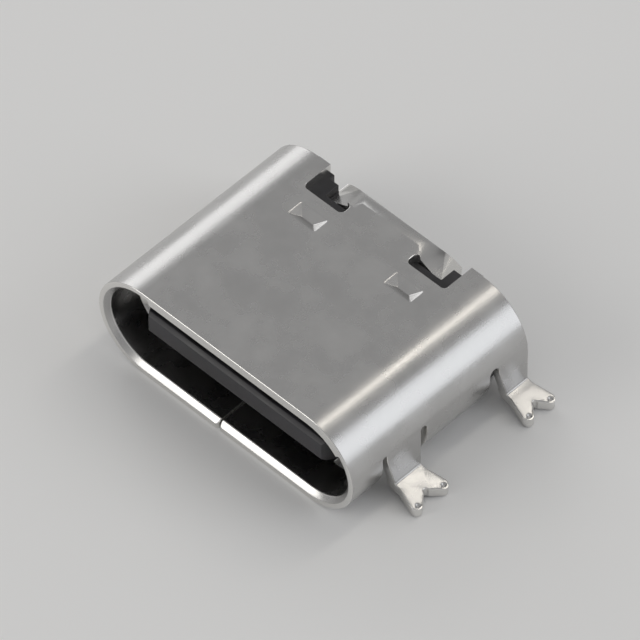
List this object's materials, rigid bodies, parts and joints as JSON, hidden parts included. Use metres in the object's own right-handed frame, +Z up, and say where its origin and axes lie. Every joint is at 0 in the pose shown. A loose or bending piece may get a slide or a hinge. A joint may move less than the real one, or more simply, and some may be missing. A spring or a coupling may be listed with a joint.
{
  "type": "usb-c socket",
  "caption": "Surface-mount board socket for a small reversible plug: rolled steel shell with forked solder feet, black tongue, gold contacts and a bent rear hood.",
  "frame": {"origin": "middle of the lower edge of the mouth, in the plane of the board", "axes": "+X across the mouth to the right as seen by someone looking into it, +Y from the mouth into the socket, +Z up from the board"},
  "size_m": [0.0108, 0.0069, 0.0032],
  "materials": {
    "stamped_steel": "satin nickel-plated stamped sheet with fine grain and bright sheared edges",
    "black_housing": "moulded black, slightly glossy",
    "black_insulator": "moulded black, matt",
    "plate_steel": "bright stamped sheet",
    "contact_gold": "satin gold plate over copper alloy strip"
  },
  "bodies": {
    "root": {"shell": "stamped_steel", "tongue_housing": "black_housing", "upper_insulator": "black_insulator", "lower_insulator": "black_insulator", "mid_plate": "plate_steel", "upper_contact_1": "contact_gold", "upper_contact_4": "contact_gold", "upper_contact_5": "contact_gold", "upper_contact_6": "contact_gold", "upper_contact_7": "contact_gold", "upper_contact_8": "contact_gold", "upper_contact_9": "contact_gold", "upper_contact_12": "contact_gold", "lower_contact_1": "contact_gold", "lower_contact_4": "contact_gold", "lower_contact_5": "contact_gold", "lower_contact_6": "contact_gold", "lower_contact_7": "contact_gold", "lower_contact_8": "contact_gold", "lower_contact_9": "contact_gold", "lower_contact_12": "contact_gold"}
  },
  "joints": []
}
